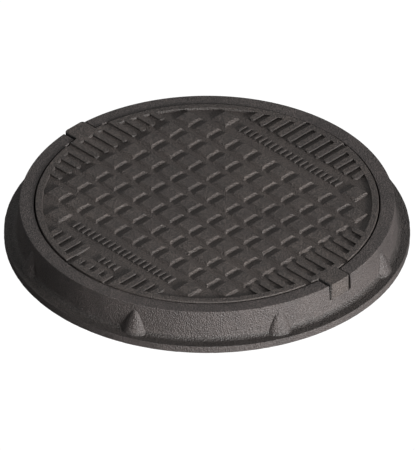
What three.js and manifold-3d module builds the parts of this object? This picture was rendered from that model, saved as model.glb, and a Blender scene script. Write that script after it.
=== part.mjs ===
// A round cast-iron manhole cover in its frame: the frame casting with its ground flange and
// buttresses, the ribbed lift-out cover with its tread, and the rubber ring that the cover sits on.
// Millimetres, +Z up. The origin is the centre of the flange's underside, and the two ears lie on X.
import * as THREE from "three";
import { mergeVertices } from "three/addons/utils/BufferGeometryUtils.js";
import Module from "manifold-3d";

// Heights
const RING_TOP = 70;
const COVER_TOP = 72;
const TREAD_DEPTH = 4;
const PLATE_THICKNESS = 10;
const RIM_DEPTH = 31;
const SEAT_HEIGHT = 37;
const FLANGE_THICKNESS = 14;
const LIE = 0.3; // gap kept between pieces that touch

// Frame radii
const FLANGE_RADIUS = 360;
const WALL_FOOT_RADIUS = 336.5;
const WALL_TOP_RADIUS = 333;
const WALL_FILLET = 10;
const SOCKET_RADIUS = 307;
const CLEAR_RADIUS = 275;
const WALL_THICKNESS = 16;
const LEDGE_THICKNESS = 11;

// Buttresses round the outside of the frame
const BUTTRESS_COUNT = 8;
const BUTTRESS_TOP = 59;
const BUTTRESS_WIDTH = 50;
const BUTTRESS_REACH = 17;
const BUTTRESS_SINK = 2; // how far its axis lies inside the wall
const BUTTRESS_SWELL = 0.72; // below 1 the sides swell outwards

// Cover
const COVER_RADIUS = 304.3;
const BORDER_INNER_RADIUS = 292;
const RIM_INNER_RADIUS = 290;
const EAR_WIDTH = 47;
const EAR_REACH = 335;
const EAR_CORNER = 7;
const NOTCH_GAP = 3;

// Seat ring
const SEAT_RING_OUTER = 302.5;
const SEAT_RING_INNER = 285;

// Tread: square studs with sloping sides, on a square lattice
const STUD_PITCH = 46.4;
const STUD_TOP = 27;
const STUD_FOOT = 37;
const STUD_COLUMNS = 10;
const STUD_ROWS = 8;

// Tread: groups of parallel bars that run in from the border
const BAR_PITCH = STUD_PITCH / 2;
const BAR_WIDTH = 12;
const BARS_IN_GROUP = 12;
const BAR_START = 237;
const SHORT_BAR_START = 273;
const SHORT_BARS = 4;

// Tread: rows of plain upright dashes
const DASH_WIDTH = 5;
const DASH_LENGTH = 20;
const DASH_HEIGHT = 3;
const DASH_PITCH = 12.6;
const DASH_ROW_Y = 209;
const DASHES_IN_ROW = 20;
const SMALL_ROW = { x: 6, y: -252, count: 4, length: 18 };

// Underside
const RIB_THICKNESS = 9;
const RIB_BOTTOM = 43;
const RIB_COUNT = 8;
const RING_RIB_RADIUS = 150;
const HUB_RADIUS = 38;

const ROUND_STEPS = 96;
const PLATE_TOP = COVER_TOP - TREAD_DEPTH;
const PLATE_BOTTOM = PLATE_TOP - PLATE_THICKNESS;
const RIM_BOTTOM = COVER_TOP - RIM_DEPTH;

const wasm = await Module();
wasm.setup();

const iron = new THREE.MeshStandardMaterial({ color: 0x4a4543, roughness: 0.62, metalness: 0.55 });
const rubber = new THREE.MeshStandardMaterial({ color: 0x1d1d1d, roughness: 0.85, metalness: 0 });

function solid(geometry) {
  const bare = geometry.clone();
  bare.deleteAttribute("normal");
  bare.deleteAttribute("uv");
  const merged = mergeVertices(bare, 1e-4);
  const mesh = new wasm.Mesh({
    numProp: 3,
    vertProperties: merged.attributes.position.array,
    triVerts: new Uint32Array(merged.index.array),
  });
  return new wasm.Manifold(mesh);
}

function meshOf(name, body, material) {
  const { vertProperties, triVerts } = body.getMesh();
  const geometry = new THREE.BufferGeometry();
  geometry.setAttribute("position", new THREE.BufferAttribute(vertProperties, 3));
  geometry.setIndex(new THREE.BufferAttribute(triVerts, 1));
  const flat = geometry.toNonIndexed();
  flat.computeVertexNormals();
  const mesh = new THREE.Mesh(flat, material);
  mesh.name = name;
  return mesh;
}

const joined = (bodies) => bodies.reduce((sum, body) => sum.add(body));

// A profile of [radius, height] pairs, listed anticlockwise, turned about Z.
function turned(profile) {
  const points = profile.map(([radius, height]) => new THREE.Vector2(radius, height));
  return solid(new THREE.LatheGeometry(points, ROUND_STEPS).rotateX(Math.PI / 2));
}

function box(low, high) {
  const size = high.map((value, axis) => value - low[axis]);
  const centre = high.map((value, axis) => (value + low[axis]) / 2);
  return solid(new THREE.BoxGeometry(...size).translate(...centre));
}

// A plan outline raised from one height to another.
function raised(shape, bottom, top, curveSegments = 6) {
  const options = { depth: top - bottom, bevelEnabled: false, curveSegments };
  return solid(new THREE.ExtrudeGeometry(shape, options).translate(0, 0, bottom));
}

function turnAboutZ(body, degrees) {
  return body.rotate([0, 0, degrees]);
}

// Copies of a body spread evenly round Z, the first of them half a step from +X.
function spread(make, count) {
  return Array.from({ length: count }, (_, i) => turnAboutZ(make(), (360 / count) * (i + 0.5)));
}

// ---- frame ----

function frameRing() {
  const ledgeBottom = SEAT_HEIGHT - LEDGE_THICKNESS;
  const wallInner = WALL_FOOT_RADIUS - WALL_THICKNESS;
  const fillet = [0, 30, 60, 90].map((degrees) => {
    const turn = THREE.MathUtils.degToRad(degrees);
    const radius = WALL_FOOT_RADIUS + WALL_FILLET * (1 - Math.sin(turn));
    return [radius, FLANGE_THICKNESS + WALL_FILLET * (1 - Math.cos(turn))];
  });
  return turned([
    [wallInner, 0],
    [FLANGE_RADIUS - 0.8, 0],
    [FLANGE_RADIUS, 0.8],
    [FLANGE_RADIUS, FLANGE_THICKNESS - 1.5],
    [FLANGE_RADIUS - 1.5, FLANGE_THICKNESS],
    ...fillet,
    [WALL_TOP_RADIUS, RING_TOP - 1],
    [WALL_TOP_RADIUS - 1, RING_TOP],
    [SOCKET_RADIUS + 0.8, RING_TOP],
    [SOCKET_RADIUS, RING_TOP - 0.8],
    [SOCKET_RADIUS, SEAT_HEIGHT],
    [CLEAR_RADIUS, SEAT_HEIGHT],
    [CLEAR_RADIUS, ledgeBottom + 2],
    [CLEAR_RADIUS + 2, ledgeBottom],
    [wallInner - 6, ledgeBottom - 2],
    [wallInner, ledgeBottom - 8],
    [wallInner, 0],
  ]);
}

// A rounded half cone that leans on the outer wall, wide at the flange and pointed near the top.
function buttress() {
  const foot = FLANGE_THICKNESS / 2;
  const tip = 0.07;
  const points = [new THREE.Vector2(0, foot)];
  const levels = 6;
  for (let level = 0; level <= levels; level += 1) {
    const rise = level / levels;
    const radius = tip + (1 - tip) * (1 - rise) ** BUTTRESS_SWELL;
    points.push(new THREE.Vector2(radius, foot + (BUTTRESS_TOP - foot) * rise));
  }
  points.push(new THREE.Vector2(0, BUTTRESS_TOP));
  const cone = new THREE.LatheGeometry(points, 20).rotateX(Math.PI / 2);
  cone.scale(BUTTRESS_REACH, BUTTRESS_WIDTH / 2, 1);
  const lean = (WALL_FOOT_RADIUS - WALL_TOP_RADIUS) / (RING_TOP - FLANGE_THICKNESS - WALL_FILLET);
  const axis = WALL_TOP_RADIUS + lean * RING_TOP - BUTTRESS_SINK;
  const shear = new THREE.Matrix4().makeShear(0, 0, 0, 0, -lean, 0).setPosition(axis, 0, 0);
  return solid(cone.applyMatrix4(shear));
}

function earNotch() {
  const half = EAR_WIDTH / 2 + NOTCH_GAP;
  const floor = RIM_BOTTOM - LIE;
  return box([SOCKET_RADIUS - 6, -half, floor], [WALL_FOOT_RADIUS + 4, half, RING_TOP + 4]);
}

function buildFrame() {
  const buttresses = spread(buttress, BUTTRESS_COUNT);
  const notches = earNotch().add(turnAboutZ(earNotch(), 180));
  return joined([frameRing(), ...buttresses]).subtract(notches);
}

// ---- cover ----

function coverPlate() {
  return turned([
    [0, PLATE_BOTTOM],
    [RIM_INNER_RADIUS, PLATE_BOTTOM],
    [RIM_INNER_RADIUS + 2, RIM_BOTTOM],
    [COVER_RADIUS - 1.5, RIM_BOTTOM],
    [COVER_RADIUS - 0.5, RIM_BOTTOM + 1],
    [COVER_RADIUS, COVER_TOP - 1],
    [COVER_RADIUS - 1, COVER_TOP],
    [BORDER_INNER_RADIUS + 1, COVER_TOP],
    [BORDER_INNER_RADIUS - 1, PLATE_TOP],
    [0, PLATE_TOP],
  ]);
}

function ear() {
  const half = EAR_WIDTH / 2;
  const inner = COVER_RADIUS - 8;
  const corner = EAR_REACH - EAR_CORNER;
  const outline = new THREE.Shape();
  outline.moveTo(inner, -half);
  outline.lineTo(corner, -half);
  outline.absarc(corner, EAR_CORNER - half, EAR_CORNER, -Math.PI / 2, 0, false);
  outline.absarc(corner, half - EAR_CORNER, EAR_CORNER, 0, Math.PI / 2, false);
  outline.lineTo(inner, half);
  return raised(outline, RIM_BOTTOM, COVER_TOP);
}

function stud(x, y) {
  const half = Math.SQRT1_2;
  const top = STUD_TOP * half;
  const foot = STUD_FOOT * half;
  const sink = 1;
  const slope = (foot - top) / TREAD_DEPTH;
  const pyramid = new THREE.CylinderGeometry(top, foot + slope * sink, TREAD_DEPTH + sink, 4);
  pyramid.rotateY(Math.PI / 4).rotateX(Math.PI / 2);
  return solid(pyramid.translate(x, y, PLATE_TOP + (TREAD_DEPTH - sink) / 2));
}

function studs() {
  const bodies = [];
  for (let column = 0; column < STUD_COLUMNS; column += 1) {
    const x = (column - (STUD_COLUMNS - 1) / 2) * STUD_PITCH;
    for (let row = 0; row < STUD_ROWS; row += 1) {
      bodies.push(stud(x, (row - (STUD_ROWS - 1) / 2) * STUD_PITCH));
    }
  }
  for (const side of [-1, 1]) {
    for (const end of [-1, 1]) {
      bodies.push(stud(side * STUD_PITCH * 3.5, end * STUD_PITCH * 4.5));
    }
  }
  return bodies;
}

// A bar along +X at a given offset from the axis, with a round inner end, that runs into the border.
function bar(start, offset) {
  const half = BAR_WIDTH / 2;
  const end = Math.sqrt((BORDER_INNER_RADIUS + 3) ** 2 - (Math.abs(offset) + half) ** 2);
  const outline = new THREE.Shape();
  outline.moveTo(end, offset - half);
  outline.lineTo(end, offset + half);
  outline.lineTo(start + half, offset + half);
  outline.absarc(start + half, offset, half, Math.PI / 2, Math.PI * 1.5, false);
  return raised(outline, PLATE_TOP - 1, COVER_TOP);
}

function barGroup(turn, shortBars) {
  const bodies = [];
  for (let i = 0; i < BARS_IN_GROUP; i += 1) {
    const place = i - (BARS_IN_GROUP - 1) / 2;
    const inner = Math.abs(place) < shortBars / 2 ? SHORT_BAR_START : BAR_START;
    bodies.push(turnAboutZ(bar(inner, place * BAR_PITCH), turn));
  }
  return bodies;
}

function bars() {
  return [
    ...barGroup(0, 0),
    ...barGroup(90, 0),
    ...barGroup(180, 0),
    ...barGroup(270, SHORT_BARS),
  ];
}

function dashRow(centreX, centreY, count, length) {
  const bodies = [];
  for (let i = 0; i < count; i += 1) {
    const x = centreX + (i - (count - 1) / 2) * DASH_PITCH;
    const low = [x - DASH_WIDTH / 2, centreY - length / 2, PLATE_TOP - 1];
    const high = [x + DASH_WIDTH / 2, centreY + length / 2, PLATE_TOP + DASH_HEIGHT];
    bodies.push(box(low, high));
  }
  return bodies;
}

function dashes() {
  return [
    ...dashRow(0, DASH_ROW_Y, DASHES_IN_ROW, DASH_LENGTH),
    ...dashRow(0, -DASH_ROW_Y, DASHES_IN_ROW, DASH_LENGTH),
    ...dashRow(SMALL_ROW.x, SMALL_ROW.y, SMALL_ROW.count, SMALL_ROW.length),
  ];
}

// Two channels of every bar group run on through the border to the cover's edge.
function drains() {
  const half = (BAR_PITCH - BAR_WIDTH) / 2;
  const bodies = [];
  for (const turn of [0, 90, 180, 270]) {
    for (const side of [-STUD_PITCH, STUD_PITCH]) {
      const low = [BORDER_INNER_RADIUS - 10, side - half, PLATE_TOP];
      const high = [COVER_RADIUS + 2, side + half, COVER_TOP + 2];
      bodies.push(turnAboutZ(box(low, high), turn));
    }
  }
  return bodies;
}

// Radial ribs, one ring rib and a round hub under the plate.
function undersideRibs() {
  const top = PLATE_BOTTOM + 1;
  const half = RIB_THICKNESS / 2;
  const rib = () => box([0, -half, RIB_BOTTOM], [RIM_INNER_RADIUS + 5, half, top]);
  const ring = (outer, inner) =>
    turned([
      [inner, RIB_BOTTOM],
      [outer, RIB_BOTTOM],
      [outer, top],
      [inner, top],
      [inner, RIB_BOTTOM],
    ]);
  const hub = turned([
    [0, RIB_BOTTOM],
    [HUB_RADIUS, RIB_BOTTOM],
    [HUB_RADIUS, top],
    [0, top],
  ]);
  return [hub, ring(RING_RIB_RADIUS + half, RING_RIB_RADIUS - half), ...spread(rib, RIB_COUNT)];
}

function buildCover() {
  const ears = [ear(), turnAboutZ(ear(), 180)];
  const casting = joined([coverPlate(), ...ears, ...studs(), ...bars(), ...dashes(), ...undersideRibs()]);
  return casting.subtract(joined(drains()));
}

// ---- seat ring ----

function buildSeatRing() {
  const bottom = SEAT_HEIGHT + LIE;
  const top = RIM_BOTTOM - LIE;
  return turned([
    [SEAT_RING_INNER, bottom],
    [SEAT_RING_OUTER, bottom],
    [SEAT_RING_OUTER, top],
    [SEAT_RING_INNER, top],
    [SEAT_RING_INNER, bottom],
  ]);
}

const manhole = new THREE.Group();
manhole.add(meshOf("frame", buildFrame(), iron));
manhole.add(meshOf("seat_ring", buildSeatRing(), rubber));
manhole.add(meshOf("cover", buildCover(), iron));

export default manhole;
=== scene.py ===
"""A round cast-iron manhole cover in its flanged frame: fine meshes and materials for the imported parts."""

import math

import bmesh
import bpy
from mathutils import Matrix, Vector, noise


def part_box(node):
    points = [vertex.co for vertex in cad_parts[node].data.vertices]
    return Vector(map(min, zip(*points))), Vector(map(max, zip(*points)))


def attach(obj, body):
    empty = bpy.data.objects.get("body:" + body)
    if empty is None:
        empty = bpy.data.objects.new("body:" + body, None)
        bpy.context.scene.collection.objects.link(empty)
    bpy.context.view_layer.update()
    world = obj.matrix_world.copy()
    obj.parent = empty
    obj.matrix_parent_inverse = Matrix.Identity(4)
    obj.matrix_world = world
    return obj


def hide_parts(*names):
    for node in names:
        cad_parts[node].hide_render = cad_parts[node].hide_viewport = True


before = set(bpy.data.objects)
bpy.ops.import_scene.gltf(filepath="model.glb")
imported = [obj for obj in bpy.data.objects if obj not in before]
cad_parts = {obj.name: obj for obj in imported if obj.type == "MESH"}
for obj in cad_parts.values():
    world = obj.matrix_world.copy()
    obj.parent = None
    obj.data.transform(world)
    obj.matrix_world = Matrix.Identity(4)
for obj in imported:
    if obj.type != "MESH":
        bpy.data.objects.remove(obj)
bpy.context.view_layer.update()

MM = 0.001
_, frame_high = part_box("frame")
cover_low, cover_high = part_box("cover")
ring_low, ring_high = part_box("seat_ring")

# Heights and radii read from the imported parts, in millimetres
FLANGE_RADIUS = frame_high.x / MM
RING_TOP = frame_high.z / MM
COVER_TOP = cover_high.z / MM
COVER_RADIUS = cover_high.y / MM
EAR_REACH = cover_high.x / MM
RIM_BOTTOM = cover_low.z / MM
SEAT_TOP = ring_low.z / MM - 0.3
SEAT_RING_TOP = ring_high.z / MM
SEAT_RING_RADIUS = ring_high.y / MM

# Frame details
FLANGE_EDGE = 14
WALL_FOOT = FLANGE_RADIUS - 23.5
WALL_TOP = FLANGE_RADIUS - 27
WALL_FILLET = 10
WALL_LEAN = (WALL_FOOT - WALL_TOP) / (RING_TOP - FLANGE_EDGE - WALL_FILLET)
SOCKET = COVER_RADIUS + 2.7
CLEAR_RADIUS = FLANGE_RADIUS - 85
WALL_INSIDE = WALL_FOOT - 16
BUTTRESSES = 8
BUTTRESS_TOP = RING_TOP - 11
BUTTRESS_HALF_WIDTH = 25
BUTTRESS_REACH = 17
BUTTRESS_SINK = 2
BUTTRESS_SWELL = 0.72

# Cover details
TREAD = 4
PLATE_TOP = COVER_TOP - TREAD
PLATE_BOTTOM = PLATE_TOP - 10
BORDER_INSIDE = COVER_RADIUS - 12.3
RIM_INSIDE = COVER_RADIUS - 14.3
EAR_HALF = 23.5
EAR_CORNER = 7
NOTCH_GAP = 3
PITCH = 46.4
STUD_FOOT_HALF = 18.5
STUD_TOP_HALF = 13.5
BAR_HALF = 6
BARS = 12
BAR_START = 237
SHORT_START = 273
SHORT_BARS = 4
DASH_PITCH = 12.6
DASH_HEIGHT = 3
DASH_FOOT_HALF = 2.7
DASH_TOP_HALF = 2.1
# Middle x and y, how many dashes, and their length
DASH_ROWS = ((0, 209, 20, 20), (0, -209, 20, 20), (6, -252, 4, 18))
RIBS = 8
RIB_HALF = 4.5
RIB_BOTTOM = RIM_BOTTOM + 2
RIB_RING = 150
HUB = 38

# The rubber ring's width, the steps round a turned shape, and how far a joined shape sinks into its base
SEAT_RING_WIDTH = 17
STEPS = 288
SINK = 1.0


# ---- mesh tools ----

def new_object(name, bm):
    mesh = bpy.data.meshes.new(name)
    bm.normal_update()
    bm.to_mesh(mesh)
    bm.free()
    obj = bpy.data.objects.new(name, mesh)
    bpy.context.scene.collection.objects.link(obj)
    return obj


def millimetres(bm, point):
    return bm.verts.new(Vector(point) * MM)


def skin_loops(bm, loops, closed=False):
    """Quads between loops of vertices that lie in order, with flat caps on the first and last loop."""
    pairs = list(zip(loops, loops[1:]))
    if closed:
        pairs.append((loops[-1], loops[0]))
    for below, above in pairs:
        count = len(below)
        for i in range(count):
            j = (i + 1) % count
            bm.faces.new((below[i], below[j], above[j], above[i]))
    if not closed:
        bm.faces.new(list(reversed(loops[0])))
        bm.faces.new(loops[-1])


def revolve(bm, profile, closed, wobble=None):
    """Turns (radius, height) pairs about Z. An open profile runs upwards and is capped at both ends."""
    loops = []
    for radius, height in profile:
        loop = []
        for i in range(STEPS):
            turn = 2 * math.pi * i / STEPS
            r, z = wobble(radius, height, turn) if wobble else (radius, height)
            loop.append(millimetres(bm, (r * math.cos(turn), r * math.sin(turn), z)))
        loops.append(loop)
    skin_loops(bm, loops, closed)


def arc(centre, radius, start, end, steps):
    """Points of a round corner, between two angles in degrees."""
    points = []
    for i in range(steps + 1):
        turn = math.radians(start + (end - start) * i / steps)
        points.append((centre[0] + radius * math.cos(turn), centre[1] + radius * math.sin(turn)))
    return points


def along(start, end, steps):
    """Points between two ends, without the ends."""
    return [tuple(a + (b - a) * i / steps for a, b in zip(start, end)) for i in range(1, steps)]


def rounded_box_outline(low, high, radius, steps=4):
    """Plan outline of a rectangle with round corners, anticlockwise."""
    corners = [
        ((high[0] - radius, high[1] - radius), 0),
        ((low[0] + radius, high[1] - radius), 90),
        ((low[0] + radius, low[1] + radius), 180),
        ((high[0] - radius, low[1] + radius), 270),
    ]
    return [p for centre, start in corners for p in arc(centre, radius, start, start + 90, steps)]


def boolean(base, tools, operation):
    """Joins to or cuts from base each tool in turn, then removes the tools."""
    for tool in tools:
        step = base.modifiers.new("boolean", "BOOLEAN")
        step.operation = operation
        step.solver = "MANIFOLD"
        step.object = tool
        bpy.context.view_layer.objects.active = base
        bpy.ops.object.modifier_apply(modifier=step.name)
        bpy.data.objects.remove(tool)
    return base


def finish_mesh(obj, material, sharp_degrees=38):
    """Clean faces, smooth shading that keeps the sharp edges, and the material."""
    bm = bmesh.new()
    bm.from_mesh(obj.data)
    bmesh.ops.remove_doubles(bm, verts=bm.verts, dist=0.00001)
    bmesh.ops.dissolve_degenerate(bm, edges=bm.edges, dist=0.00001)
    for edge in bm.edges:
        edge.smooth = edge.is_manifold and edge.calc_face_angle(0) < math.radians(sharp_degrees)
    for face in bm.faces:
        face.smooth = True
    bm.to_mesh(obj.data)
    bm.free()
    obj.data.materials.clear()
    obj.data.materials.append(material)
    weighted = obj.modifiers.new("weighted", "WEIGHTED_NORMAL")
    weighted.keep_sharp = True
    weighted.mode = "FACE_AREA"
    return obj


# ---- raised shapes of the tread ----

def side_profile(foot, top, height, edge, fillet):
    """(distance out from the top's edge, height) pairs up a sloping side, with a fillet at the foot and a
    round edge at the top."""
    run = foot - top
    slope = math.atan2(height, run)
    foot_reach = fillet * math.tan(slope / 2)
    top_reach = edge * math.tan(slope / 2)
    points = [(run + foot_reach, -SINK), (run + foot_reach, 0)]
    for i in range(1, 4):
        turn = slope * i / 4
        points.append((run + foot_reach - fillet * math.sin(turn), fillet * (1 - math.cos(turn))))
    points.append((run - foot_reach * math.cos(slope), foot_reach * math.sin(slope)))
    points.append((top_reach * math.cos(slope), height - top_reach * math.sin(slope)))
    for i in range(3, 0, -1):
        turn = slope * i / 4
        points.append((-top_reach + edge * math.sin(turn), height - edge * (1 - math.cos(turn))))
    points.append((-top_reach, height))
    return points


def raise_outline(bm, outline_at, profile, base=PLATE_TOP, turn=0.0):
    """A closed pad: outline_at gives the plan outline at each distance out from the top's edge."""
    spin = Matrix.Rotation(turn, 3, "Z")
    loops = []
    for out, height in profile:
        points = [spin @ Vector((x, y, base + height)) for x, y in outline_at(out)]
        loops.append([millimetres(bm, p) for p in points])
    skin_loops(bm, loops)


def stud(bm, x, y):
    profile = side_profile(STUD_FOOT_HALF, STUD_TOP_HALF, TREAD, edge=0.8, fillet=1.0)

    def outline(out):
        half = STUD_TOP_HALF + out
        radius = 0.8 + max(0.0, out) * 0.2
        return rounded_box_outline((x - half, y - half), (x + half, y + half), radius)

    raise_outline(bm, outline, profile)


def studs(bm):
    for column in range(10):
        for row in range(8):
            stud(bm, (column - 4.5) * PITCH, (row - 3.5) * PITCH)
    for side in (-1, 1):
        for end in (-1, 1):
            stud(bm, side * 3.5 * PITCH, end * 4.5 * PITCH)


def bar(bm, start, offset, turn):
    """A bar that runs outwards from a round inner end into the border."""
    profile = side_profile(BAR_HALF, BAR_HALF - 0.1, TREAD, edge=0.4, fillet=0.4)
    end = math.sqrt((BORDER_INSIDE + 5) ** 2 - (abs(offset) + BAR_HALF + 2) ** 2)
    top_half = BAR_HALF - 0.1

    def outline(out):
        half = top_half + out
        round_end = arc((start + BAR_HALF, offset), half, 90, 270, 10)
        return [(end, offset + half), *round_end, (end, offset - half)]

    raise_outline(bm, outline, profile, turn=turn)


def bar_group(bm, turn_degrees, short=0):
    for i in range(BARS):
        place = i - (BARS - 1) / 2
        inner = SHORT_START if abs(place) < short / 2 else BAR_START
        bar(bm, inner, place * PITCH / 2, math.radians(turn_degrees))


def dash_row(bm, centre_x, centre_y, count, length):
    """A row of plain upright dashes, all alike."""
    profile = side_profile(DASH_FOOT_HALF, DASH_TOP_HALF, DASH_HEIGHT, edge=0.6, fillet=0.7)
    for i in range(count):
        x = centre_x + (i - (count - 1) / 2) * DASH_PITCH

        def outline(out, x=x):
            across = DASH_TOP_HALF + out
            half = length / 2 - 0.5 + out
            low, high = (x - across, centre_y - half), (x + across, centre_y + half)
            return rounded_box_outline(low, high, 1.2 + out * 0.5, 3)

        raise_outline(bm, outline, profile)


def tread():
    bm = bmesh.new()
    studs(bm)
    for turn_degrees in (0, 90, 180):
        bar_group(bm, turn_degrees)
    bar_group(bm, 270, SHORT_BARS)
    for centre_x, centre_y, count, length in DASH_ROWS:
        dash_row(bm, centre_x, centre_y, count, length)
    return new_object("tread_tool", bm)


# ---- cover ----

def on_cap(face):
    return abs(face.normal.z) > 0.999 and face.calc_center_median().xy.length < (BORDER_INSIDE - 1) * MM


def cut_caps(bm, pitch):
    """Divides the two flat caps along a square grid, so that no face grows too large."""
    for axis in (0, 1):
        for line in range(-12, 13):
            place, normal = Vector((0, 0, 0)), Vector((0, 0, 0))
            place[axis], normal[axis] = line * pitch * MM, 1
            flat = [face for face in bm.faces if on_cap(face)]
            edges = list({edge for face in flat for edge in face.edges})
            corners = list({vert for face in flat for vert in face.verts})
            bmesh.ops.bisect_plane(bm, geom=flat + edges + corners, plane_co=place, plane_no=normal)
            bm.normal_update()


def cover_plate():
    profile = [(RIM_INSIDE - 4, PLATE_BOTTOM)]
    profile += arc((RIM_INSIDE - 4, PLATE_BOTTOM - 4), 4, 90, 5, 4)
    profile += arc((RIM_INSIDE + 3.5, RIM_BOTTOM + 1.5), 1.5, 180, 270, 3)
    profile += arc((COVER_RADIUS - 2, RIM_BOTTOM + 1.5), 1.5, 270, 360, 3)
    profile += arc((COVER_RADIUS - 1.2, COVER_TOP - 1.2), 1.2, 0, 90, 4)
    profile += arc((BORDER_INSIDE + 0.8, COVER_TOP - 0.8), 0.8, 90, 170, 3)
    profile += arc((BORDER_INSIDE - 1.2, PLATE_TOP + 1.0), 1.0, 350, 270, 4)
    bm = bmesh.new()
    revolve(bm, profile, closed=False)
    bm.normal_update()
    cut_caps(bm, PITCH / 2)
    return new_object("cover_casting", bm)


def ears():
    bm = bmesh.new()
    inner = BORDER_INSIDE + 3
    depth = COVER_TOP - RIM_BOTTOM
    profile = [(0, 0), (0, depth - 1.4), (-0.3, depth - 0.6), (-0.8, depth - 0.15), (-1.4, depth)]
    for side in (0, math.pi):

        def outline(out):
            half = EAR_HALF + out
            return rounded_box_outline((inner, -half), (EAR_REACH + out, half), EAR_CORNER, 6)

        raise_outline(bm, outline, profile, RIM_BOTTOM, side)
    return new_object("ears_tool", bm)


def drains():
    """Cuts that run two channels of every bar group on through the border."""
    bm = bmesh.new()
    half = PITCH / 4 - BAR_HALF
    profile = [(-0.5, 0), (0, 0.9), (0.1, TREAD - 1), (0.5, TREAD - 0.2), (1.6, TREAD + 1)]
    for turn in range(4):
        for side in (-PITCH, PITCH):

            def outline(out, side=side):
                low = (BORDER_INSIDE - 8, side - half - out)
                high = (COVER_RADIUS + 4, side + half + out)
                return rounded_box_outline(low, high, 0.4, 1)

            raise_outline(bm, outline, profile, turn=turn * math.pi / 2)
    return new_object("drain_tool", bm)


def rib_profile(height):
    """(distance out, height) pairs down a rib's side, from inside the plate to the rib's lower edge."""
    return [(1.6, SINK), (0.9, -1.2), (0.2, -2.4), (-0.5, 1.0 - height), (-1.3, -height)]


def ribs():
    height = PLATE_BOTTOM - RIB_BOTTOM
    radial = bmesh.new()
    for i in range(RIBS):
        turn = 2 * math.pi * (i + 0.5) / RIBS

        def outline(out):
            half = RIB_HALF + out
            return list(reversed(rounded_box_outline((HUB - 8, -half), (RIM_INSIDE + 6, half), 1.0, 2)))

        raise_outline(radial, outline, rib_profile(height), PLATE_BOTTOM, turn)
    turned = bmesh.new()
    side = ((0.6, height), (0.0, height - 0.8), (-0.6, 2.0), (-1.8, -SINK))
    inner = [(RIB_RING - RIB_HALF + inset, PLATE_BOTTOM - depth) for inset, depth in side]
    outer = [(RIB_RING + RIB_HALF - inset, PLATE_BOTTOM - depth) for inset, depth in reversed(side)]
    revolve(turned, list(reversed(inner + outer)), closed=True)
    hub = [(HUB - 1, RIB_BOTTOM), (HUB, RIB_BOTTOM + 1)]
    hub += [(HUB + 1, PLATE_BOTTOM - 2), (HUB + 2.5, PLATE_BOTTOM + SINK)]
    revolve(turned, hub, closed=False)
    return [new_object("ribs_tool", radial), new_object("rib_ring_tool", turned)]


def build_cover(material):
    cover = boolean(cover_plate(), [ears(), tread(), *ribs()], "UNION")
    boolean(cover, [drains()], "DIFFERENCE")
    return finish_mesh(cover, material)


# ---- frame ----

def frame_profile():
    """The frame's section, anticlockwise from the inside of the foot."""
    ledge = SEAT_TOP - 11
    lean = math.degrees(math.atan(WALL_LEAN))
    points = [(WALL_INSIDE, 0.6), (WALL_INSIDE + 0.6, 0)]
    points += along((WALL_INSIDE + 0.6, 0), (FLANGE_RADIUS - 1.2, 0), 5)
    points += arc((FLANGE_RADIUS - 1.2, 1.2), 1.2, 270, 360, 3)
    points += arc((FLANGE_RADIUS - 1, FLANGE_EDGE - 1), 1, 0, 90, 4)
    points += arc((WALL_FOOT + WALL_FILLET, FLANGE_EDGE + WALL_FILLET), WALL_FILLET, 270, 180 + lean, 8)
    points += along((WALL_FOOT, FLANGE_EDGE + WALL_FILLET), (WALL_TOP, RING_TOP - 1.6), 14)
    points += arc((WALL_TOP - 1.6, RING_TOP - 1.6), 1.6, 5, 90, 4)
    points += along((WALL_TOP - 1.6, RING_TOP), (SOCKET + 1, RING_TOP), 6)
    points += arc((SOCKET + 1, RING_TOP - 1), 1, 90, 180, 3)
    points += along((SOCKET, RING_TOP - 1), (SOCKET - 0.4, SEAT_TOP + 1.5), 4)
    points += [(SOCKET - 0.4, SEAT_TOP + 1.2), (SOCKET - 1.4, SEAT_TOP)]
    points += along((SOCKET - 1.4, SEAT_TOP), (CLEAR_RADIUS + 1.2, SEAT_TOP), 4)
    points += arc((CLEAR_RADIUS + 1.2, SEAT_TOP - 1.2), 1.2, 90, 180, 2)
    points += arc((CLEAR_RADIUS + 2, ledge + 2), 2, 180, 270, 3)
    points += along((CLEAR_RADIUS + 2, ledge), (WALL_INSIDE - 8, ledge - 1.5), 6)
    points += arc((WALL_INSIDE - 8, ledge - 9.5), 8, 90, 0, 5)
    points += along((WALL_INSIDE, ledge - 9.5), (WALL_INSIDE, 0.6), 4)
    return points


def cast_wobble(radius, height, turn):
    """Slight unevenness of the casting, largest at the flange's thin edge, and none on the top ring."""
    place = Vector((math.cos(turn), math.sin(turn), 0)) * radius
    place.z = height
    wave = noise.noise(place * 0.025)
    ripple = noise.noise(place * 0.11 + Vector((7, 3, 1)))
    chip = noise.noise(place * 0.35 + Vector((2, 9, 4)))
    edge = min(1.0, max(0.0, (radius - FLANGE_RADIUS + 4) / 3))
    outside = radius > WALL_TOP + 0.1 and 1 < height < RING_TOP - 2
    inward = edge * (0.3 + 0.2 * ripple + 0.4 * chip)
    if outside and not edge:
        radius += 0.22 * wave + 0.12 * ripple
    return min(radius - inward, FLANGE_RADIUS - 0.05), height


def frame_ring():
    bm = bmesh.new()
    revolve(bm, frame_profile(), closed=True, wobble=cast_wobble)
    return new_object("frame_casting", bm)


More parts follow.
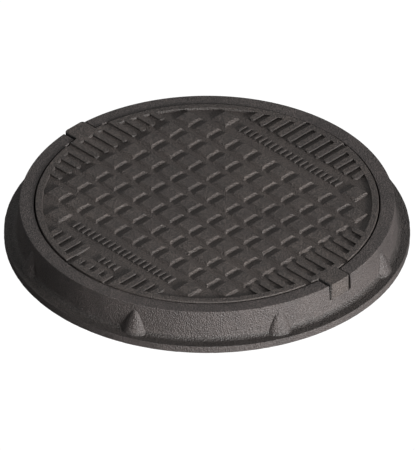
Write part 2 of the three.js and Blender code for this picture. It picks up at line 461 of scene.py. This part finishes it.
def buttress(bm, turn):
    """A pointed, rounded half cone against the outer wall, whose sides swell out."""
    spin = Matrix.Rotation(turn, 3, "Z")
    foot = FLANGE_EDGE / 2
    levels = 22
    loops = []
    for level in range(levels + 1):
        rise = 1 - (1 - level / levels) ** 1.5
        height = foot + (BUTTRESS_TOP - foot) * rise
        size = 0.07 + 0.93 * (1 - rise) ** BUTTRESS_SWELL
        flare = 1 + 0.07 * max(0.0, 1 - (height - FLANGE_EDGE) / 5) ** 2
        axis = WALL_TOP + WALL_LEAN * (RING_TOP - height) - BUTTRESS_SINK
        loop = []
        for i in range(32):
            around = 2 * math.pi * i / 32
            x = axis + BUTTRESS_REACH * size * flare * math.cos(around)
            y = BUTTRESS_HALF_WIDTH * size * flare * math.sin(around)
            loop.append(millimetres(bm, spin @ Vector((max(x, axis - 6), y, height))))
        loops.append(loop)
    skin_loops(bm, loops)


def buttresses():
    bm = bmesh.new()
    for i in range(BUTTRESSES):
        buttress(bm, 2 * math.pi * (i + 0.5) / BUTTRESSES)
    return new_object("buttress_tool", bm)


def notches():
    """Cuts for the two ears, with a small flare at the top."""
    bm = bmesh.new()
    floor = RIM_BOTTOM - 0.3
    half = EAR_HALF + NOTCH_GAP
    depth = RING_TOP - floor
    profile = [(0, 0), (0, depth - 1.2), (0.35, depth - 0.5), (1.2, depth + 0.3), (3, depth + 3)]
    for side in (0, math.pi):

        def outline(out):
            return rounded_box_outline((SOCKET - 6, -half - out), (WALL_FOOT + 4, half + out), 0.8, 2)

        raise_outline(bm, outline, profile, floor, side)
    return new_object("notch_tool", bm)


def build_frame(material):
    casting = boolean(frame_ring(), [buttresses()], "UNION")
    boolean(casting, [notches()], "DIFFERENCE")
    return finish_mesh(casting, material)


# ---- seat ring ----

def build_seat_ring(material):
    low = ring_low.z / MM
    inner = SEAT_RING_RADIUS - SEAT_RING_WIDTH
    radius = 0.9
    profile = arc((SEAT_RING_RADIUS - radius, low + radius), radius, 270, 360, 4)
    profile += arc((SEAT_RING_RADIUS - radius, SEAT_RING_TOP - radius), radius, 0, 90, 4)
    profile += arc((inner + radius, SEAT_RING_TOP - radius), radius, 90, 180, 4)
    profile += arc((inner + radius, low + radius), radius, 180, 270, 4)
    bm = bmesh.new()
    revolve(bm, profile, closed=True)
    return finish_mesh(new_object("rubber_seat_ring", bm), material)


# ---- materials ----

NONE = (0, 0, 0)
FULL = (1, 1, 1)
IRON_DARK = (0.0317, 0.0262, 0.0245)
IRON = (0.0405, 0.0335, 0.0310)
IRON_LIGHT = (0.0493, 0.0408, 0.0372)
# painted shade colour for the flange top and the tread's steep sides
IRON_PAINTED_SHADE = (0.0238, 0.0197, 0.0180)
# near-black painted shade for the gaps beside the ears and round the socket
GAP_SHADE_COLOUR = (0.006, 0.0055, 0.005)


def grey(value):
    return (value, value, value)


def node_material(name):
    material = bpy.data.materials.new(name)
    material.use_nodes = True
    tree = material.node_tree
    return material, tree, tree.nodes["Principled BSDF"]


def add(tree, kind, **inputs):
    made = tree.nodes.new(kind)
    for key, value in inputs.items():
        made.inputs[key.replace("_", " ")].default_value = value
    return made


def noise_node(tree, coordinates, scale, detail=4.0, roughness=0.55):
    made = add(tree, "ShaderNodeTexNoise", Scale=scale, Detail=detail, Roughness=roughness)
    tree.links.new(coordinates, made.inputs["Vector"])
    return made.outputs["Fac"]


def ramp(tree, value, stops):
    """Maps a value through (position, colour) stops."""
    made = tree.nodes.new("ShaderNodeValToRGB")
    elements = made.color_ramp.elements
    while len(elements) < len(stops):
        elements.new(0.5)
    for element, (position, colour) in zip(elements, stops):
        element.position = position
        element.color = (*colour, 1)
    tree.links.new(value, made.inputs["Fac"])
    return made.outputs["Color"]


def mix(tree, factor, first, second, blend="MIX"):
    made = tree.nodes.new("ShaderNodeMix")
    made.data_type = "RGBA"
    made.blend_type = blend
    sockets = (made.inputs["Factor"], made.inputs[6], made.inputs[7])
    for socket, value in zip(sockets, (factor, first, second)):
        if isinstance(value, bpy.types.NodeSocket):
            tree.links.new(value, socket)
        elif isinstance(value, tuple):
            socket.default_value = (*value, 1)
        else:
            socket.default_value = value
    return made.outputs[2]


def bump(tree, height, distance, strength, normal=None):
    made = add(tree, "ShaderNodeBump", Distance=distance, Strength=strength)
    tree.links.new(height, made.inputs["Height"])
    if normal is not None:
        tree.links.new(normal, made.inputs["Normal"])
    return made.outputs["Normal"]


def absolute(tree, value):
    made = tree.nodes.new("ShaderNodeMath")
    made.operation = "ABSOLUTE"
    tree.links.new(value, made.inputs[0])
    return made.outputs["Value"]


def distance_out(tree, place):
    """Distance from the Z axis."""
    level = tree.nodes.new("ShaderNodeVectorMath")
    level.operation = "MULTIPLY"
    level.inputs[1].default_value = (1, 1, 0)
    tree.links.new(place, level.inputs[0])
    length = tree.nodes.new("ShaderNodeVectorMath")
    length.operation = "LENGTH"
    tree.links.new(level.outputs["Vector"], length.inputs[0])
    return length.outputs["Value"]


def levelness(tree):
    """1 on level faces, 0 on upright ones."""
    normal = tree.nodes.new("ShaderNodeNewGeometry").outputs["Normal"]
    split = tree.nodes.new("ShaderNodeSeparateXYZ")
    tree.links.new(normal, split.inputs["Vector"])
    return absolute(tree, split.outputs["Z"])


def painted_shade(tree, place, level):
    """1 where shade is painted into the colour: on level faces near the ground, and on the steep faces of
    the tread."""
    height = tree.nodes.new("ShaderNodeSeparateXYZ")
    tree.links.new(place, height.inputs["Vector"])
    z = height.outputs["Z"]
    low = ramp(tree, z, [((FLANGE_EDGE + 3) * MM, FULL), ((FLANGE_EDGE + 12) * MM, NONE)])
    high = ramp(tree, z, [(PLATE_BOTTOM * MM, NONE), ((PLATE_TOP - 2) * MM, FULL)])
    radii = [((COVER_RADIUS - 3.3) * MM, FULL), ((COVER_RADIUS + 1.7) * MM, NONE)]
    sides = mix(tree, 1.0, high, ramp(tree, distance_out(tree, place), radii), "MULTIPLY")
    return mix(tree, ramp(tree, level, [(0.3, NONE), (0.5, FULL)]), sides, low)


def band(tree, value, low, high, fade=0.4):
    """1 between two sizes in millimetres, fading to 0 just outside them."""
    stops = [(low - fade, NONE), (low, FULL), (high, FULL), (high + fade, NONE)]
    return ramp(tree, value, [(place * MM, colour) for place, colour in stops])


def gap_shade_mask(tree, place, side, top, socket):
    """Painted shade: 1 in the narrow gaps beside the two ears, on faces at this distance from the X axis and
    below this height, and round a socket of this radius where there is one."""
    split = tree.nodes.new("ShaderNodeSeparateXYZ")
    tree.links.new(place, split.inputs["Vector"])
    sideways = band(tree, absolute(tree, split.outputs["Y"]), side - 0.4, side + 0.4)
    outside = band(tree, absolute(tree, split.outputs["X"]), COVER_RADIUS - 1, FLANGE_RADIUS)
    shade_in_gap = mix(tree, 1.0, sideways, outside, "MULTIPLY")
    if socket:
        socket_face = band(tree, distance_out(tree, place), socket - 0.6, socket + 0.2)
        shade_in_gap = mix(tree, 1.0, shade_in_gap, socket_face, "LIGHTEN")
    depth = band(tree, split.outputs["Z"], SEAT_TOP, top)
    return mix(tree, 1.0, shade_in_gap, depth, "MULTIPLY")


def cast_iron(name, tint, side, top, socket=None):
    """Black-coated sand-cast iron: fine sand grain, worn high spots, dusty brown in patches, painted shade
    on the flange top and the tread's steep sides, and near-black painted shade in the gaps that side, top
    and socket place."""
    material, tree, shader = node_material(name)
    place = tree.nodes.new("ShaderNodeTexCoord").outputs["Object"]
    patches = noise_node(tree, place, scale=9, detail=5, roughness=0.6)
    cloud = noise_node(tree, place, scale=42, detail=5, roughness=0.6)
    sand = noise_node(tree, place, scale=410, detail=1, roughness=0.5)
    grit = noise_node(tree, place, scale=900, detail=2, roughness=0.6)
    level = levelness(tree)
    colour = ramp(tree, patches, [(0.3, IRON_DARK), (0.5, IRON), (0.7, IRON_LIGHT)])
    colour = mix(tree, 1.0, colour, tint, "MULTIPLY")
    # painted shade: a darker colour on the flange top and on the tread's steep sides
    colour = mix(tree, painted_shade(tree, place, level), colour, IRON_PAINTED_SHADE)
    # painted shade, near black, in the gaps beside the ears and round the socket
    colour = mix(tree, gap_shade_mask(tree, place, side, top, socket), colour, GAP_SHADE_COLOUR)
    cloudy = ramp(tree, cloud, [(0.3, grey(0.86)), (0.7, (1.12, 1.11, 1.10))])
    fine = ramp(tree, grit, [(0.35, grey(0.82)), (0.65, grey(1.18))])
    worn = ramp(tree, sand, [(0.41, grey(0.6)), (0.5, grey(0.96)), (0.6, grey(1.6))])
    rough_cast = ramp(tree, sand, [(0.36, grey(0.8)), (0.5, grey(0.98)), (0.66, grey(1.27))])
    steep = ramp(tree, level, [(0.6, FULL), (0.95, NONE)])
    for layer in (cloudy, fine, mix(tree, steep, worn, rough_cast)):
        colour = mix(tree, 1.0, colour, layer, "MULTIPLY")
    tree.links.new(colour, shader.inputs["Base Color"])
    tree.links.new(ramp(tree, cloud, [(0.3, grey(0.52)), (0.7, grey(0.64))]), shader.inputs["Roughness"])
    grained = bump(tree, sand, distance=0.0032, strength=0.9)
    finished = bump(tree, grit, distance=0.0004, strength=0.5, normal=grained)
    tree.links.new(finished, shader.inputs["Normal"])
    return material


def rubber(name):
    material, tree, shader = node_material(name)
    place = tree.nodes.new("ShaderNodeTexCoord").outputs["Object"]
    dust = noise_node(tree, place, scale=60)
    colour = ramp(tree, dust, [(0.35, (0.011, 0.011, 0.012)), (0.7, (0.024, 0.023, 0.022))])
    tree.links.new(colour, shader.inputs["Base Color"])
    tree.links.new(ramp(tree, dust, [(0.3, grey(0.55)), (0.7, grey(0.8))]), shader.inputs["Roughness"])
    pores = noise_node(tree, place, scale=900, detail=2)
    tree.links.new(bump(tree, pores, distance=0.0003, strength=0.4), shader.inputs["Normal"])
    return material


# ---- studio ----

KEY_AZIMUTH = -2
KEY_ELEVATION = 11
KEY_DISTANCE = 8.0
KEY_SIZE = (3.6, 1.3)
KEY_POWER = 1750
SKY = 0.43
GROUND_HALF = 30
VIEW_AZIMUTH = 45
VIEW_ELEVATION = 35.26
VIEW_DISTANCE = 4
VIEW_WIDTH = 0.797
VIEW_HEIGHT = 0.0241
VIEW_SHIFT = 0.0008


def key_light():
    """A wide soft light, low over the +X side. Azimuth is measured from +X towards +Y."""
    light = bpy.data.lights.new("key", "AREA")
    light.shape = "RECTANGLE"
    light.size, light.size_y = KEY_SIZE
    light.energy = KEY_POWER
    obj = bpy.data.objects.new("key", light)
    bpy.context.scene.collection.objects.link(obj)
    turn, lift = math.radians(KEY_AZIMUTH), math.radians(KEY_ELEVATION)
    level = math.cos(lift)
    obj.location = Vector((math.cos(turn) * level, math.sin(turn) * level, math.sin(lift))) * KEY_DISTANCE
    target = Vector((0, 0, 0.03))
    obj.rotation_euler = (target - obj.location).to_track_quat("-Z", "Y").to_euler()


def plane(name, height):
    bm = bmesh.new()
    bmesh.ops.create_grid(bm, x_segments=1, y_segments=1, size=GROUND_HALF)
    obj = new_object(name, bm)
    obj.location.z = height
    return obj


def backdrop():
    """A bright white ground that shows no shadow, over a dark one that stops light from below."""
    white, _, shader = node_material("white_backdrop")
    shader.inputs["Base Color"].default_value = (0, 0, 0, 1)
    shader.inputs["Specular IOR Level"].default_value = 0
    shader.inputs["Emission Color"].default_value = (1, 1, 1, 1)
    shader.inputs["Emission Strength"].default_value = 1.05
    seen = plane("white_ground", -0.0005)
    seen.data.materials.append(white)
    for kind in ("diffuse", "glossy", "shadow", "transmission"):
        setattr(seen, "visible_" + kind, False)
    dark, _, shader = node_material("dark_backdrop")
    shader.inputs["Base Color"].default_value = (0.08, 0.08, 0.08, 1)
    plane("dark_ground", -0.001).data.materials.append(dark)


def studio():
    backdrop()
    key_light()
    world = bpy.data.worlds.new("studio")
    world.use_nodes = True
    world.node_tree.nodes["Background"].inputs["Color"].default_value = (1, 1, 1, 1)
    world.node_tree.nodes["Background"].inputs["Strength"].default_value = SKY
    bpy.context.scene.world = world
    bpy.context.scene.view_settings.view_transform = "Standard"


def camera():
    """A view without perspective, from between +X and -Y and from above."""
    data = bpy.data.cameras.new("camera")
    data.type = "ORTHO"
    data.ortho_scale = VIEW_WIDTH
    data.clip_end = 60
    obj = bpy.data.objects.new("camera", data)
    bpy.context.scene.collection.objects.link(obj)
    elevation, azimuth = math.radians(VIEW_ELEVATION), math.radians(VIEW_AZIMUTH)
    level = math.cos(elevation)
    back = Vector((math.sin(azimuth) * level, -math.cos(azimuth) * level, math.sin(elevation)))
    right = Vector((math.cos(azimuth), math.sin(azimuth), 0))
    target = Vector((0, 0, VIEW_HEIGHT)) + right * VIEW_SHIFT
    obj.location = target + back * VIEW_DISTANCE
    obj.rotation_euler = (-back).to_track_quat("-Z", "Y").to_euler()
    bpy.context.scene.camera = obj


studio()
camera()

notch_side = EAR_HALF + NOTCH_GAP
frame_iron = cast_iron("cast_iron_frame", (0.98, 0.98, 1), notch_side, RING_TOP - 1.5, SOCKET)
frame_piece = build_frame(frame_iron)
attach(frame_piece, "frame")
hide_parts("frame")

cover_iron = cast_iron("cast_iron_cover", (1, 0.98, 0.95), EAR_HALF, COVER_TOP - 0.5)
cover_piece = build_cover(cover_iron)
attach(cover_piece, "cover")
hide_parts("cover")

seat_piece = build_seat_ring(rubber("seat_rubber"))
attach(seat_piece, "frame")
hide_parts("seat_ring")
